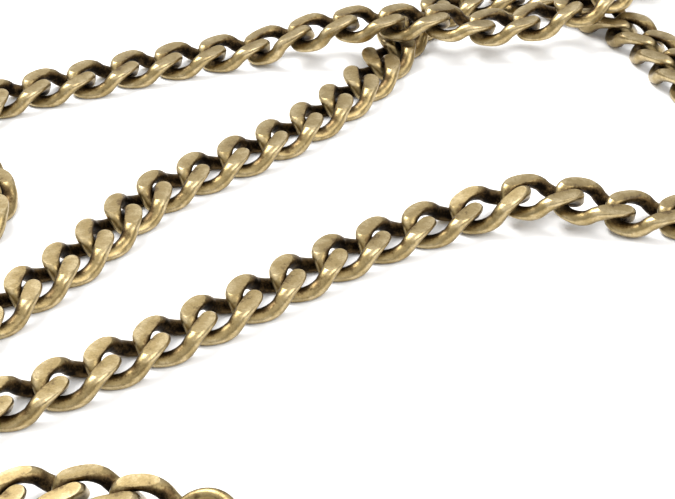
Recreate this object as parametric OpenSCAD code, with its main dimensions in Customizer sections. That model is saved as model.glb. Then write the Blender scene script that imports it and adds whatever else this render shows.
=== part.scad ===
// Pocket watch chain: a curb chain of ground-flat twisted links laid out in
// loose folds, with a toggle bar at one end and a swivel snap at the other.
// Millimetres, +Z up, the chain lies on the plane z = 0.

/* [Links] */
// Distance from one link to the next along the chain
pitch = 4.5; // [4.3:0.1:4.7]
// Diameter of the wire the links are bent from
wire_d = 1.1; // [0.9:0.05:1.15]
// Thickness of the chain across its two ground flats
flat_t = 2.2; // [2:0.05:2.8]
// Half length of a link, measured on the wire's centre line
half_len = 3.05; // [2.95:0.05:3.15]
// Half width of a link at its middle, on the wire's centre line
half_wid = 1.9; // [1.7:0.05:2]
// Radius of the rounded end of a link, on the wire's centre line
bow_r = 1.5; // [1.4:0.05:1.6]
// Angle by which each end of a link is twisted out of flat
twist = 40; // [36:1:44]

/* [Toggle bar] */
// Length of the toggle bar between its ball centres
toggle_len = 24; // [18:1:30]
// Diameter of the toggle bar
toggle_d = 2; // [1.6:0.1:2.4]
// Diameter of the balls on the bar's ends
ball_d = 3.4; // [3:0.1:3.6]

/* [Snap] */
// Radius of the snap's hook, on the wire's centre line
hook_r = 4.6; // [4.4:0.1:5.2]
// Diameter of the hook's wire
hook_d = 2.2; // [1.8:0.1:2.4]
// Diameter of the swivel barrel
barrel_d = 3.6; // [3.4:0.1:3.6]
// Diameter of the pin the gate turns on
pin_d = 1; // [0.8:0.1:1.2]

/* [Rings] */
// Radius of the two joining rings, on the wire's centre line
ring_r = 2.4; // [2.2:0.1:2.8]
// Diameter of the joining rings' wire
ring_d = 1; // [0.8:0.1:1.1]

/* [Hidden] */
brass = [0.72, 0.6, 0.34];
dark_brass = [0.5, 0.4, 0.22];
link_count = 98;
bow_span = 69;          // half angle swept by a link's rounded end
bend_ball = 1.08;       // ball where an end meets a limb, as a multiple of the wire
lift = 2.5;             // how far one strand rides over another at a crossing
end_lift = 0.9;         // rise of the two end links to meet the rings
end_z = flat_t / 2 + end_lift;
ring_tilt = 37;         // tilt of the rings and eyes about the chain's line
eye_d = 1.1;            // wire of the toggle eye and the swivel eye
toggle_eye_r = 2;
swivel_eye_r = 2.2;
bite = 1.85;            // link centre to the ring wire inside its end
eye_gap = 0.1;          // slack between a ring and the eye it holds

// Route of the chain's centre line seen from above, from toggle to snap
route = [
  [34, 51.5], [32.8, 48.5], [31, 45], [29, 41.5], [26, 38], [21.5, 36.2], [17, 36],
  [12, 36], [7, 36], [2, 36], [-3.5, 36], [-9, 36], [-15, 34.5], [-20.5, 32.5],
  [-25, 30.5], [-29, 29.2], [-33, 27], [-35.2, 23.5], [-35.5, 20], [-34.8, 17],
  [-33, 14.3], [-31, 11.3], [-30.3, 7.5], [-32, 2.4], [-36.5, -0.8], [-41.5, -2.6],
  [-45.6, -6], [-47, -11], [-45.4, -16], [-41.2, -19], [-36, -18.8], [-31.8, -15.2],
  [-28.2, -10], [-24.5, -5], [-21.5, -1.2], [-19, 3.5], [-16.5, 7.8], [-12.5, 11.5],
  [-8, 15], [-4, 18.5], [-0.5, 22.5], [3, 27.5], [5.5, 32.5], [7.5, 38], [10, 42.5],
  [14.5, 45.3], [19.5, 46], [24, 44.5], [27.5, 41], [30.5, 36.5], [32.5, 31.5],
  [33.5, 26.5], [36, 22.3], [40.3, 20.2], [44.8, 17.8], [47.4, 13.2], [46.8, 7.8],
  [43.2, 3.6], [38.2, 2], [33, 1.4], [28, 1.3], [24, 2.2], [20, 3.4], [16, 4], [11.5, 3],
  [5.5, 0.5], [0, -3], [-5.5, -7.5], [-12.5, -13], [-20, -18.5], [-26, -22], [-32, -24.8],
  [-38, -26.8], [-43.6, -29.6], [-47.2, -34.2], [-47.2, -40], [-43.6, -44.6], [-38, -46],
  [-33, -43.4], [-30.4, -38.6], [-27.2, -34.4], [-22.5, -32.4], [-17.6, -33.4],
  [-13.2, -35.8], [-9, -38.4]
];
route_steps = 12;
place = [0, -6];       // brings the whole layout over the origin

// Places along the chain, in link pitches, where it lifts: [place, flat
// half length, ramp length, height]
lifts = [
  [8, 0.9, 2.6, lift], [3.1, 0.9, 2.7, lift], [0, 0.6, 2.4, end_lift],
  [link_count, 0.6, 2.4, end_lift], [69.5, 0.3, 1.7, 1.1]
];

function unit(v) = v / norm(v);
function turn(x, y) = atan2(y, x);

// Smooth curve through the route points
function curve(a, b, c, d, t) = 0.5 * (2 * b + (c - a) * t
  + (2 * a - 5 * b + 4 * c - d) * t * t + (3 * b - a - 3 * c + d) * t * t * t);
route_last = len(route) - 1;
path = [
  for (i = [0:route_last - 1]) for (k = [0:route_steps - 1])
    curve(route[max(i - 1, 0)], route[i], route[i + 1], route[min(i + 2, route_last)],
      k / route_steps),
  route[route_last]
];
path_last = len(path) - 1;
run = [for (i = 0, s = 0; i <= path_last;
  s = s + (i < path_last ? norm(path[i + 1] - path[i]) : 0), i = i + 1) s];
path_x = [for (i = [0:path_last]) [run[i], path[i][0]]];
path_y = [for (i = [0:path_last]) [run[i], path[i][1]]];

// Height of the chain's centre line above the table at a place
function ease(u) = u <= 0 ? 1 : u >= 1 ? 0 : (1 + cos(180 * u)) / 2;
function rise(p) = max([for (l = lifts) l[3] * ease((abs(p - l[0]) - l[1]) / l[2])]);
function pivot(k) = [lookup(k * pitch, path_x) + place[0], lookup(k * pitch, path_y) + place[1],
  flat_t / 2 + rise(k)];

// Stands its children on the middle of link k, X along the chain
module at_link(k) {
  a = pivot(k);
  b = pivot(k + 1);
  v = b - a;
  translate((a + b) / 2)
    rotate([0, -atan2(v[2], norm([v[0], v[1]])), turn(v[0], v[1])]) children();
}

// A round wire bent on one arc, leaving point p along t and ending at q
module arc_wire(p, t, q) {
  e = q - p;
  n = unit(e - (e * t) * t);
  r = (e * e) / (2 * (e * n));
  c = p + r * n;
  z = cross(-n, t);
  multmatrix([[-n[0], t[0], z[0], c[0]], [-n[1], t[1], z[1], c[1]],
      [-n[2], t[2], z[2], c[2]], [0, 0, 0, 1]])
    rotate_extrude(angle = 2 * atan2(e * n, e * t), $fn = 48)
      translate([r, 0]) circle(d = wire_d, $fn = 24);
}

// One rounded end of a link and the limb that leaves it, joined by balls
module half_link() {
  bow_x = half_len - bow_r;
  side = bow_r * sin(bow_span);
  high = [bow_x + bow_r * cos(bow_span), -side * cos(twist), side * sin(twist)];
  low = [high[0], -high[1], -high[2]];
  far = [-high[0], high[1], -high[2]];
  translate([bow_x, 0, 0]) rotate([-twist, 0, 0]) rotate([0, 0, -bow_span])
    rotate_extrude(angle = 2 * bow_span, $fn = 48)
      translate([bow_r, 0]) circle(d = wire_d, $fn = 24);
  // the limb starts along the direction that brings it level with half_wid
  e = high - [0, -half_wid, 0];
  along = unit([high[0], 0, high[2]]);
  bend = 2 * atan2(e[1], e * along);
  leave = -(along * cos(bend) + [0, 1, 0] * sin(bend));
  arc_wire(high, leave, far);
  for (p = [high, low]) translate(p) sphere(d = wire_d * bend_ball, $fn = 24);
}

// A twisted oval link with its top and bottom ground flat
module link() {
  intersection() {
    union() {
      half_link();
      rotate([0, 0, 180]) half_link();
    }
    cube([4 * half_len, 4 * half_len, flat_t], center = true);
  }
}

module links(first, last) {
  for (k = [first:last]) at_link(k - 1) link();
}

// Frame of an end fitting: X points away from the chain, origin on the ring's centre
module at_end(k, side) {
  a = pivot(k);
  b = pivot(k + 1);
  m = (a + b) / 2;
  v = side * (b - a);
  translate([m[0], m[1], end_z]) rotate([0, 0, turn(v[0], v[1])])
    translate([bite + ring_r, 0, 0]) children();
}

// A ring lying along X, tilted about it
module tilted_ring(r, d, tilt) {
  rotate([tilt, 0, 0]) rotate_extrude($fn = 64) translate([r, 0]) circle(d = d, $fn = 24);
}

// Where the centre of an eye of radius r sits beyond the ring that holds it
function eye_x(r) = ring_r - (ring_d + eye_d) / 2 - eye_gap + r;

module at_toggle() { at_end(0, -1) children(); }
module at_snap() { at_end(link_count - 1, 1) children(); }

toggle_x = eye_x(toggle_eye_r) + toggle_eye_r + 0.6;
sleeve_len = 5;
sleeve_d = toggle_d + 1.2;

barrel_x = eye_x(swivel_eye_r) + swivel_eye_r + 1.2;
barrel_len = 4;
wall = 1;
shank_d = 1.3;
shank_clear = 0.1;
head_d = 2.3;
head_len = 1;
cup_d = 2.7;
cup_len = 1.7;
neck_len = 3.4;
neck_w = 4.4;
neck_t = 3.4;
hook_x = barrel_len + neck_len + hook_r - 0.8;
hook_end = 98;          // angle of the hook's tip from +X
gate_x = barrel_len + 1.9;
gate_y = 1.9;
gate_d = 1.5;
gate_angle = 28;
gate_len = 3.3;
knuckle_d = 2.4;
knuckle_t = 1.5;
slot_t = 2.2;
spring_d = 0.3;
spring_r = 0.85;
spring_leg = 1.4;
pin_clear = 0.05;
pin_head = 0.3;

module toggle_rod() {
  color(brass) at_toggle() translate([toggle_x, 0, 0]) rotate([90, 0, 0])
    cylinder(d = toggle_d, h = toggle_len, center = true, $fn = 48);
}

module toggle_balls() {
  color(brass) at_toggle() for (s = [-1, 1])
    translate([toggle_x, s * toggle_len / 2, 0]) difference() {
      sphere(d = ball_d, $fn = 48);
      rotate([s * 90, 0, 0]) cylinder(d = toggle_d, h = ball_d, $fn = 48);
    }
}

module toggle_eye() {
  color(brass) at_toggle() difference() {
    union() {
      translate([toggle_x, 0, 0]) rotate([90, 0, 0])
        cylinder(d = sleeve_d, h = sleeve_len, center = true, $fn = 48);
      translate([eye_x(toggle_eye_r), 0, 0])
        tilted_ring(toggle_eye_r, eye_d, -ring_tilt);
    }
    translate([toggle_x, 0, 0]) rotate([90, 0, 0])
      cylinder(d = toggle_d, h = 2 * sleeve_len, center = true, $fn = 48);
  }
}

module toggle_ring() {
  color(brass) at_toggle() tilted_ring(ring_r, ring_d, ring_tilt);
}

module clasp_ring() {
  color(brass) at_snap() tilted_ring(ring_r, ring_d, ring_tilt);
}

module swivel_eye() {
  color(brass) at_snap() {
    translate([eye_x(swivel_eye_r), 0, 0])
      tilted_ring(swivel_eye_r, eye_d, -ring_tilt);
    neck_x = eye_x(swivel_eye_r) + swivel_eye_r;
    translate([neck_x, 0, 0]) rotate([0, 90, 0])
      cylinder(d = shank_d, h = barrel_x + wall + head_len / 2 - neck_x, $fn = 32);
    translate([barrel_x + wall + shank_clear, 0, 0]) rotate([0, 90, 0])
      cylinder(d = head_d, h = head_len, $fn = 32);
  }
}

module at_barrel() { at_snap() translate([barrel_x, 0, 0]) children(); }

module clasp_body() {
  color(brass) at_barrel() difference() {
    union() {
      rotate([0, 90, 0]) cylinder(d = barrel_d, h = barrel_len, $fn = 48);
      intersection() {
        translate([barrel_len - 0.5, -1.6, -neck_t / 2]) cube([neck_len + 0.5, neck_w, neck_t]);
        translate([barrel_len + 1.4, 0.6, -neck_t / 2]) cylinder(r = 2.9, h = neck_t, $fn = 64);
      }
      translate([hook_x, 0, 0]) rotate([0, 0, 178])
        rotate_extrude(angle = 182 + hook_end, $fn = 96)
          translate([hook_r, 0]) circle(d = hook_d, $fn = 32);
      translate([hook_x + hook_r * cos(hook_end), hook_r * sin(hook_end), 0])
        sphere(d = hook_d * 1.02, $fn = 32);
    }
    translate([-1, 0, 0]) rotate([0, 90, 0])
      cylinder(d = shank_d + 2 * shank_clear, h = wall + 2, $fn = 32);
    translate([wall, 0, 0]) rotate([0, 90, 0]) cylinder(d = cup_d, h = cup_len, $fn = 32);
    translate([gate_x, gate_y, 0]) {
      cylinder(d = pin_d + 0.02, h = 2 * neck_t, center = true, $fn = 32);
      translate([-1.5, -1.5, -slot_t / 2]) cube([3.6, 6, slot_t]);
    }
  }
}

module clasp_gate() {
  color(brass) at_barrel() translate([gate_x, gate_y, 0]) difference() {
    union() {
      translate([0, 0, -slot_t / 2 + 0.1]) cylinder(d = knuckle_d, h = knuckle_t, $fn = 32);
      translate([0, 0, -slot_t / 2 + 0.1 + knuckle_t / 2]) {
        rotate([0, 0, gate_angle]) {
          rotate([0, 90, 0]) cylinder(d = gate_d, h = gate_len, $fn = 32);
          translate([gate_len, 0, 0]) sphere(d = gate_d * 1.02, $fn = 32);
        }
        rotate([0, 0, gate_angle + 95]) {
          rotate([0, 90, 0]) cylinder(d = 1.1, h = 2.6, $fn = 32);
          translate([2.6, 0, 0]) sphere(d = 1.5, $fn = 32);
        }
      }
    }
    cylinder(d = pin_d + 2 * pin_clear, h = 2 * neck_t, center = true, $fn = 32);
  }
}

module gate_pin() {
  color(dark_brass) at_barrel() translate([gate_x, gate_y, 0]) {
    cylinder(d = pin_d, h = neck_t + 0.1, center = true, $fn = 32);
    for (s = [-1, 1]) translate([0, 0, s * (neck_t / 2 + 0.03 + pin_head / 2)])
      cylinder(d = pin_d + 0.6, h = pin_head, center = true, $fn = 32);
  }
}

module gate_spring() {
  color(dark_brass) at_barrel()
    translate([gate_x, gate_y, -slot_t / 2 + 0.1 + knuckle_t + spring_d / 2 + 0.05])
{
        rotate_extrude($fn = 48) translate([spring_r, 0]) circle(d = spring_d, $fn = 16);
        for (a = [0, gate_angle]) rotate([0, 0, a]) translate([0, -spring_r, 0])
          rotate([0, 90, 0]) cylinder(d = spring_d, h = spring_leg, $fn = 16);
      }
}

module links_01_02() { color(brass) links(1, 2); }
module links_03_04() { color(brass) links(3, 4); }
module links_05_06() { color(brass) links(5, 6); }
module links_07_08() { color(brass) links(7, 8); }
module links_09_10() { color(brass) links(9, 10); }
module links_11_12() { color(brass) links(11, 12); }
module links_13_14() { color(brass) links(13, 14); }
module links_15_16() { color(brass) links(15, 16); }
module links_17_18() { color(brass) links(17, 18); }
module links_19_20() { color(brass) links(19, 20); }
module links_21_22() { color(brass) links(21, 22); }
module links_23_24() { color(brass) links(23, 24); }
module links_25_26() { color(brass) links(25, 26); }
module links_27_28() { color(brass) links(27, 28); }
module links_29_30() { color(brass) links(29, 30); }
module links_31_32() { color(brass) links(31, 32); }
module links_33_34() { color(brass) links(33, 34); }
module links_35_36() { color(brass) links(35, 36); }
module links_37_38() { color(brass) links(37, 38); }
module links_39_40() { color(brass) links(39, 40); }
module links_41_42() { color(brass) links(41, 42); }
module links_43_44() { color(brass) links(43, 44); }
module links_45_46() { color(brass) links(45, 46); }
module links_47_48() { color(brass) links(47, 48); }
module links_49_50() { color(brass) links(49, 50); }
module links_51_52() { color(brass) links(51, 52); }
module links_53_54() { color(brass) links(53, 54); }
module links_55_56() { color(brass) links(55, 56); }
module links_57_58() { color(brass) links(57, 58); }
module links_59_60() { color(brass) links(59, 60); }
module links_61_62() { color(brass) links(61, 62); }
module links_63_64() { color(brass) links(63, 64); }
module links_65_66() { color(brass) links(65, 66); }
module links_67_68() { color(brass) links(67, 68); }
module links_69_70() { color(brass) links(69, 70); }
module links_71_72() { color(brass) links(71, 72); }
module links_73_74() { color(brass) links(73, 74); }
module links_75_76() { color(brass) links(75, 76); }
module links_77_78() { color(brass) links(77, 78); }
module links_79_80() { color(brass) links(79, 80); }
module links_81_82() { color(brass) links(81, 82); }
module links_83_84() { color(brass) links(83, 84); }
module links_85_86() { color(brass) links(85, 86); }
module links_87_88() { color(brass) links(87, 88); }
module links_89_90() { color(brass) links(89, 90); }
module links_91_92() { color(brass) links(91, 92); }
module links_93_94() { color(brass) links(93, 94); }
module links_95_96() { color(brass) links(95, 96); }
module links_97_98() { color(brass) links(97, 98); }
toggle_rod();
toggle_balls();
toggle_eye();
toggle_ring();
clasp_ring();
swivel_eye();
clasp_body();
clasp_gate();
gate_pin();
gate_spring();
links_01_02();
links_03_04();
links_05_06();
links_07_08();
links_09_10();
links_11_12();
links_13_14();
links_15_16();
links_17_18();
links_19_20();
links_21_22();
links_23_24();
links_25_26();
links_27_28();
links_29_30();
links_31_32();
links_33_34();
links_35_36();
links_37_38();
links_39_40();
links_41_42();
links_43_44();
links_45_46();
links_47_48();
links_49_50();
links_51_52();
links_53_54();
links_55_56();
links_57_58();
links_59_60();
links_61_62();
links_63_64();
links_65_66();
links_67_68();
links_69_70();
links_71_72();
links_73_74();
links_75_76();
links_77_78();
links_79_80();
links_81_82();
links_83_84();
links_85_86();
links_87_88();
links_89_90();
links_91_92();
links_93_94();
links_95_96();
links_97_98();
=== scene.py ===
"""Pocket watch chain, seen close: ground-flat twisted links in antique brass."""
import math
import bmesh
import bpy
import numpy as np
from mathutils import Matrix, Vector


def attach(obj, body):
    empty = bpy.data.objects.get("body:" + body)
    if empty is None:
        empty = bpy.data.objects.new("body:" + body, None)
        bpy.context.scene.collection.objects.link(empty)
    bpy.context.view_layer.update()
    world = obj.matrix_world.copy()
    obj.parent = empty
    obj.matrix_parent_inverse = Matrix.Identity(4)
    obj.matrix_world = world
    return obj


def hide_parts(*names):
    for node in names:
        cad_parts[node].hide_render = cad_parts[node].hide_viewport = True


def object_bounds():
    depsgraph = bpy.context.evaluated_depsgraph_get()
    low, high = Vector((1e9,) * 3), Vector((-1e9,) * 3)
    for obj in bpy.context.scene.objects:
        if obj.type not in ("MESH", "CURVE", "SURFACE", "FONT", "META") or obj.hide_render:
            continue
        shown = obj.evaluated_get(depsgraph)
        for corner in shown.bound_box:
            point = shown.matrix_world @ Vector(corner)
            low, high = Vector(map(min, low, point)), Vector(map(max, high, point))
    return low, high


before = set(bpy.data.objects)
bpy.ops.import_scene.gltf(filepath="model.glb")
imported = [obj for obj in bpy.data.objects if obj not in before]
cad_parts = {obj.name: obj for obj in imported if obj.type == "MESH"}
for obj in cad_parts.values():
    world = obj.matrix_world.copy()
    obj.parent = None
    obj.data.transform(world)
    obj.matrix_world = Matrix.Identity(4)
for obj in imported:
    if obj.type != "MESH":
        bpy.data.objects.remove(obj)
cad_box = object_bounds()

MM = 0.001

# Link of the chain, in millimetres: a round wire bent to an oval, twisted, pressed
# and ground flat above and below
LINK_A = 3.0              # half length on the wire's centre line
LINK_B = 1.9             # half width on the wire's centre line
LINK_TWIST = math.radians(44)
LINK_FULL = 0.82          # below 1 squares the oval's ends
TWIST_HOLD = 0.75         # below 1 keeps the twist high along the limbs
WIRE_D = 1.18
FLAT_T = 2.08             # thickness over the two ground flats
SPREAD = 0.32             # how much the wire was pressed wider at the flats
FLAT_VARY = 0.05          # how unevenly deep the flats were ground
LIMB_FULL = 0.5           # share of that spread kept all along the limbs
FLAT_LEAN = 0.012         # how far off level the flats were ground, in radians
SHARP_EDGE = 0.12         # a flat's edge bent more than this was worn round, in radians
EDGE_WEAR = 0.055         # rounding of the flats' edges
RING_STEPS = 120
WIRE_STEPS = 26
SEED = 7

# Camera: the photograph's viewing angle
FOCAL_MM = 104
SENSOR_MM = 36
CAM_TILT = 32.4           # degrees above the table
CAM_ROLL = -2.2
CAM_DISTANCE = 165.4      # millimetres
CAM_TARGET = (0, -6, 0)   # millimetres

scene = bpy.context.scene


# ---------------------------------------------------------------- materials
def node(tree, kind, **values):
    """A new shader node with its inputs or properties set by name."""
    made = tree.nodes.new(kind)
    for name, value in values.items():
        if name in made.inputs:
            made.inputs[name].default_value = value
        else:
            setattr(made, name, value)
    return made


def ramp(tree, source, stops, smooth=False):
    """A colour ramp fed by source; stops are (place, colour or grey)."""
    made = tree.nodes.new("ShaderNodeValToRGB")
    made.color_ramp.interpolation = "EASE" if smooth else "LINEAR"
    keys = made.color_ramp.elements
    while len(keys) < len(stops):
        keys.new(0.5)
    for key, (place, colour) in zip(keys, stops):
        key.position = place
        key.color = (*colour, 1) if isinstance(colour, tuple) else (colour,) * 3 + (1,)
    tree.links.new(source, made.inputs["Fac"])
    return made.outputs["Color"]


def noise(tree, coords, per_metre, detail, rough):
    """Noise on the object's own coordinates, its scale in features per metre."""
    made = node(tree, "ShaderNodeTexNoise", Scale=per_metre, Detail=detail, Roughness=rough)
    tree.links.new(coords, made.inputs["Vector"])
    return made.outputs["Fac"]


def math_node(tree, operation, a, b, clamp=False):
    """The result of a sum of two values, each a number or another node's output."""
    made = tree.nodes.new("ShaderNodeMath")
    made.operation = operation
    made.use_clamp = clamp
    for socket, value in zip(made.inputs, (a, b)):
        if isinstance(value, (int, float)):
            socket.default_value = value
        else:
            tree.links.new(value, socket)
    return made.outputs[0]


# From the hollows' patina, deepened by painted shade, to the metal that shows where it is worn
PATINA_AND_SHADE = (0.012, 0.008, 0.005)
BROWN = (0.11, 0.07, 0.03)
GOLD = (0.33, 0.245, 0.11)
PALE_GOLD = (0.55, 0.44, 0.25)


def antique_brass(name, base_wear=None):
    """Worn brass over dark patina, with painted shade in the hollows. The wear and the painted
    shade come from the mesh's own attribute, or the wear is base_wear all over."""
    material = bpy.data.materials.new(name)
    material.use_nodes = True
    tree = material.node_tree
    shader = tree.nodes["Principled BSDF"]
    shader.inputs["Metallic"].default_value = 1.0
    coords = tree.nodes.new("ShaderNodeTexCoord").outputs["Object"]
    blotch = noise(tree, coords, 1100, 5, 0.62)
    grain = noise(tree, coords, 5200, 6, 0.65)
    fine = noise(tree, coords, 15000, 3, 0.6)
    if base_wear is None:
        attribute = node(tree, "ShaderNodeAttribute", attribute_name="wear_and_shade")
        wear_and_shade = attribute.outputs["Fac"]
    else:
        value = tree.nodes.new("ShaderNodeValue")
        value.outputs[0].default_value = base_wear
        wear_and_shade = value.outputs[0]
    uneven = math_node(tree, "MULTIPLY", math_node(tree, "SUBTRACT", blotch, 0.5), 0.8)
    speck = math_node(tree, "MULTIPLY", math_node(tree, "SUBTRACT", grain, 0.5), 0.5)
    worn_and_shaded = math_node(tree, "ADD", math_node(tree, "ADD", wear_and_shade, uneven), speck, clamp=True)
    dark = ramp(tree, worn_and_shaded, [(0.10, PATINA_AND_SHADE), (0.38, BROWN), (0.66, GOLD), (1.0, PALE_GOLD)], True)
    tint = ramp(tree, fine, [(0.3, 0.78), (0.7, 1.0)])
    toned = tree.nodes.new("ShaderNodeMix")
    toned.data_type = "RGBA"
    toned.blend_type = "MULTIPLY"
    toned.inputs["Factor"].default_value = 1
    tree.links.new(dark, toned.inputs["A"])
    tree.links.new(tint, toned.inputs["B"])
    tree.links.new(toned.outputs["Result"], shader.inputs["Base Color"])
    gloss = ramp(tree, worn_and_shaded, [(0.1, 0.50), (0.5, 0.32), (0.95, 0.25)])
    smear = ramp(tree, grain, [(0.35, 0.0), (0.7, 0.10)])
    tree.links.new(math_node(tree, "ADD", gloss, smear), shader.inputs["Roughness"])
    bump = node(tree, "ShaderNodeBump", Strength=0.5, Distance=0.00002)
    height = math_node(tree, "ADD", grain, math_node(tree, "MULTIPLY", fine, 0.5))
    tree.links.new(height, bump.inputs["Height"])
    tree.links.new(bump.outputs["Normal"], shader.inputs["Normal"])
    return material


link_brass = antique_brass("antique brass links")
fitting_brass = antique_brass("antique brass fittings", 0.62)
pin_brass = antique_brass("dark brass pins", 0.35)


# ---------------------------------------------------------------- links
def wire_line():
    """Centre line of the link's wire, with its outward and side directions."""
    angle = np.linspace(0, 2 * math.pi, RING_STEPS, endpoint=False)
    half = LINK_B * np.sign(np.sin(angle)) * np.abs(np.sin(angle)) ** LINK_FULL
    turn = LINK_TWIST * np.sign(np.cos(angle)) * np.abs(np.cos(angle)) ** TWIST_HOLD
    line = np.stack([LINK_A * np.cos(angle), half * np.cos(turn), -half * np.sin(turn)], 1)
    # even spacing along the wire
    for _ in range(2):
        closed = np.vstack([line, line[:1]])
        run = np.r_[0, np.cumsum(np.linalg.norm(np.diff(closed, axis=0), axis=1))]
        even = np.linspace(0, run[-1], RING_STEPS, endpoint=False)
        line = np.stack([np.interp(even, run, closed[:, k]) for k in range(3)], 1)
    along = np.roll(line, -1, 0) - np.roll(line, 1, 0)
    along /= np.linalg.norm(along, axis=1)[:, None]
    out = line - (line * along).sum(1)[:, None] * along
    out /= np.linalg.norm(out, axis=1)[:, None]
    return line, out, np.cross(along, out)


LINE, OUT, SIDE = wire_line()


def wire_skin():
    """Rings of points round the wire, spread sideways where it was pressed."""
    around = np.linspace(0, 2 * math.pi, WIRE_STEPS, endpoint=False)[None, :, None]
    offset = WIRE_D / 2 * (np.cos(around) * OUT[:, None] + np.sin(around) * SIDE[:, None])
    height = np.abs(LINE[:, None, 2] + offset[:, :, 2]) / (FLAT_T / 2)
    pressed = np.clip((height - 0.1) / 0.8, 0, 1)
    pressed = pressed ** 2 * (3 - 2 * pressed)
    limb = np.abs(np.cos(np.arctan2(LINE[:, 0], LINE[:, 1])))[:, None]
    pressed = np.maximum(pressed, LIMB_FULL * limb)
    offset[:, :, :2] *= (1 + SPREAD * pressed)[:, :, None]
    return LINE[:, None] + offset


SKIN = wire_skin()


def link_shape(chance):
    """Points, faces, and wear with painted shade of one link, in millimetres, with both flats
    cut.
    """
    mesh = bmesh.new()
    points = [[mesh.verts.new(p) for p in ring] for ring in SKIN]
    for i in range(RING_STEPS):
        near, far = points[i], points[(i + 1) % RING_STEPS]
        for j in range(WIRE_STEPS):
            k = (j + 1) % WIRE_STEPS
            mesh.faces.new((near[j], near[k], far[k], far[j]))
    for face in mesh.faces:
        face.smooth = True
    for side in (1, -1):
        height = FLAT_T / 2 - FLAT_VARY * chance.random()
        lean = Vector(chance.normal(0, FLAT_LEAN, 2).tolist() + [1.0]).normalized() * side
        everything = mesh.verts[:] + mesh.edges[:] + mesh.faces[:]
        cut = bmesh.ops.bisect_plane(
            mesh, geom=everything, plane_co=lean * height, plane_no=lean, clear_outer=True,
            dist=1e-5,
        )
        rim = [e for e in cut["geom_cut"] if isinstance(e, bmesh.types.BMEdge)]
        filled = bmesh.ops.edgeloop_fill(mesh, edges=rim)
        for face in filled["faces"]:
            face.smooth = False
        soften = [
            e for e in rim
            if e.is_valid and len(e.link_faces) == 2 and e.calc_face_angle(0) > SHARP_EDGE
        ]
        made = bmesh.ops.bevel(
            mesh, geom=soften, offset=EDGE_WEAR, segments=3, profile=0.5, affect="EDGES",
            clamp_overlap=True,
        )
        for face in made["faces"]:
            face.smooth = True
    bmesh.ops.recalc_face_normals(mesh, faces=mesh.faces[:])
    mesh.verts.index_update()
    where = np.array([v.co[:] for v in mesh.verts])
    faces = [[v.index for v in f.verts] for f in mesh.faces]
    smooth = [f.smooth for f in mesh.faces]
    mesh.free()
    gap = where[:, None] - LINE[None]
    nearest = (gap ** 2).sum(2).argmin(1)
    offset = where - LINE[nearest]
    outward = (offset * OUT[nearest]).sum(1) / (WIRE_D / 2)
    high = np.abs(where[:, 2]) / (FLAT_T / 2)
    # the ground flats are worn bright; the faces turned into the link's hole are darker, partly
    # patina and partly painted shade
    wear_and_shade = 0.45 + 0.27 * outward + 0.32 * np.clip(high - 0.5, 0, 1) / 0.5
    # painted shade: the inner faces at the wire's ends, where the next link rubs and hides them
    # from the light, are darkened
    wear_and_shade -= 0.25 * np.clip(np.abs(where[:, 0]) / LINK_A - 0.55, 0, 1) * (outward < 0.4)
    return where, faces, smooth, np.clip(wear_and_shade, 0, 0.86)


def loose_parts(mesh):
    """Vertex numbers of each separate solid in a mesh, whose corners may be split."""
    places = np.array([v.co[:] for v in mesh.vertices])
    _, welded = np.unique(places.round(8), axis=0, return_inverse=True)
    welded = welded.ravel().tolist()
    parent = list(range(max(welded) + 1))

    def root(i):
        while parent[i] != i:
            parent[i] = parent[parent[i]]
            i = parent[i]
        return i

    for edge in mesh.edges:
        a, b = (root(welded[i]) for i in edge.vertices)
        parent[a] = b
    groups = {}
    for i, w in enumerate(welded):
        groups.setdefault(root(w), []).append(i)
    return list(groups.values())


def link_frame(mesh, part):
    """Where a CAD link stands: its axes are the main directions of its skin."""
    inside = set(part)
    rows = [p.index for p in mesh.polygons if p.vertices[0] in inside]
    centre = np.array([mesh.polygons[i].center[:] for i in rows])
    area = np.array([mesh.polygons[i].area for i in rows])
    middle = (centre * area[:, None]).sum(0) / area.sum()
    away = centre - middle
    spread = (away[:, :, None] * away[:, None, :] * area[:, None, None]).sum(0)
    _, axes = np.linalg.eigh(spread)
    axes = axes[:, ::-1]
    if np.linalg.det(axes) < 0:
        axes[:, 2] *= -1
    return middle, axes


def links_piece(name, chance):
    """The links of one CAD node, as one piece."""
    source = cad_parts[name].data
    points, faces, smooth, wear_and_shade = [], [], [], []
    for part in loose_parts(source):
        middle, axes = link_frame(source, part)
        where, shape, soft, worn_and_shaded = link_shape(chance)
        start = sum(len(p) for p in points)
        points.append(where * MM @ axes.T + middle)
        faces += [[i + start for i in face] for face in shape]
        smooth += soft
        wear_and_shade.append(worn_and_shaded)
    mesh = bpy.data.meshes.new("chain_" + name)
    mesh.from_pydata(np.vstack(points).tolist(), [], faces)
    mesh.polygons.foreach_set("use_smooth", smooth)
    layer = mesh.attributes.new("wear_and_shade", "FLOAT", "POINT")
    layer.data.foreach_set("value", np.concatenate(wear_and_shade).astype(np.float32))
    mesh.materials.append(link_brass)
    mesh.update()
    piece = bpy.data.objects.new("chain_" + name, mesh)
    scene.collection.objects.link(piece)
    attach(piece, name)
    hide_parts(name)


chance = np.random.default_rng(SEED)
for name in sorted(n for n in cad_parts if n.startswith("links_")):
    links_piece(name, chance)

# ---------------------------------------------------------------- fittings
DARK_PARTS = ("gate_pin", "gate_spring")
for name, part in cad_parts.items():
    if not name.startswith("links_"):
        look = pin_brass if name in DARK_PARTS else fitting_brass
        for place in part.material_slots:
            place.material = look

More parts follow.
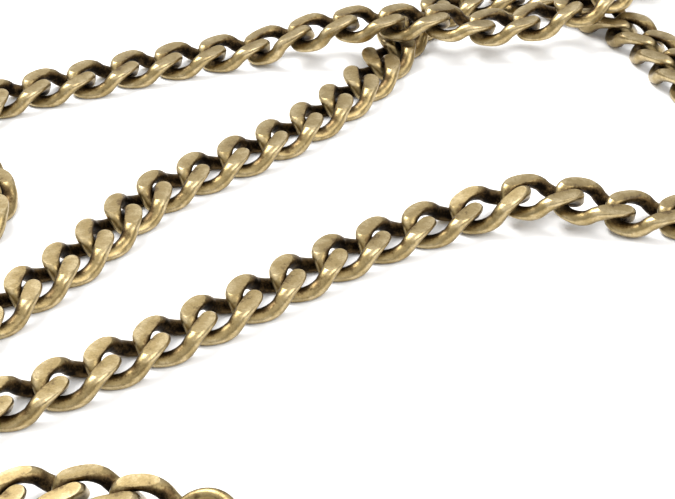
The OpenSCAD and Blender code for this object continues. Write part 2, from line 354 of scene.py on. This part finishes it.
# ---------------------------------------------------------------- stage
FLOOR_HALF = 1.5  # metres
floor_z = cad_box[0][2]
floor_mesh = bpy.data.meshes.new("floor")
floor_mesh.from_pydata(
    [(x * FLOOR_HALF, y * FLOOR_HALF, floor_z) for x, y in ((-1, -1), (1, -1), (1, 1), (-1, 1))],
    [], [(0, 1, 2, 3)],
)
floor = bpy.data.objects.new("floor", floor_mesh)
scene.collection.objects.link(floor)
paper = bpy.data.materials.new("white paper")
paper.use_nodes = True
paper_shader = paper.node_tree.nodes["Principled BSDF"]
paper_shader.inputs["Base Color"].default_value = (0.9, 0.9, 0.9, 1)
paper_shader.inputs["Roughness"].default_value = 0.8
floor_mesh.materials.append(paper)

world = bpy.data.worlds.new("studio")
scene.world = world
world.use_nodes = True
sky = world.node_tree
toward = node(sky, "ShaderNodeSeparateXYZ")
sky.links.new(node(sky, "ShaderNodeTexCoord").outputs["Generated"], toward.inputs["Vector"])
# a dim room round the table, and bright diffusers overhead
glow = ramp(sky, toward.outputs["Z"], [(0.0, 0.25), (0.38, 0.62), (0.62, 1.0)], True)
sky.links.new(glow, sky.nodes["Background"].inputs["Color"])
sky.nodes["Background"].inputs["Strength"].default_value = 1.35


def softbox(name, place, side, watts):
    """A square light at place, in metres, turned to the middle of the table."""
    light = bpy.data.lights.new(name, "AREA")
    light.shape = "SQUARE"
    light.size = side
    light.energy = watts
    lamp = bpy.data.objects.new(name, light)
    lamp.location = place
    lamp.rotation_euler = (-Vector(place)).to_track_quat("-Z", "Y").to_euler()
    scene.collection.objects.link(lamp)


softbox("key_softbox", place=(-0.25, 0.25, 0.55), side=0.35, watts=5.0)
softbox("fill_softbox", place=(0.45, -0.30, 0.50), side=0.40, watts=2.0)

camera_data = bpy.data.cameras.new("camera")
camera_data.lens = FOCAL_MM
camera_data.sensor_width = SENSOR_MM
camera_data.clip_start = 0.005
camera = bpy.data.objects.new("camera", camera_data)
tilt = math.radians(CAM_TILT)
back = Vector((0, -math.cos(tilt), math.sin(tilt))) * CAM_DISTANCE * MM
level = Matrix.Rotation(math.radians(90) - tilt, 4, "X")
turned = level @ Matrix.Rotation(math.radians(CAM_ROLL), 4, "Z")
camera.matrix_world = Matrix.Translation(Vector(CAM_TARGET) * MM + back) @ turned
scene.collection.objects.link(camera)
scene.camera = camera
scene.view_settings.view_transform = "Standard"
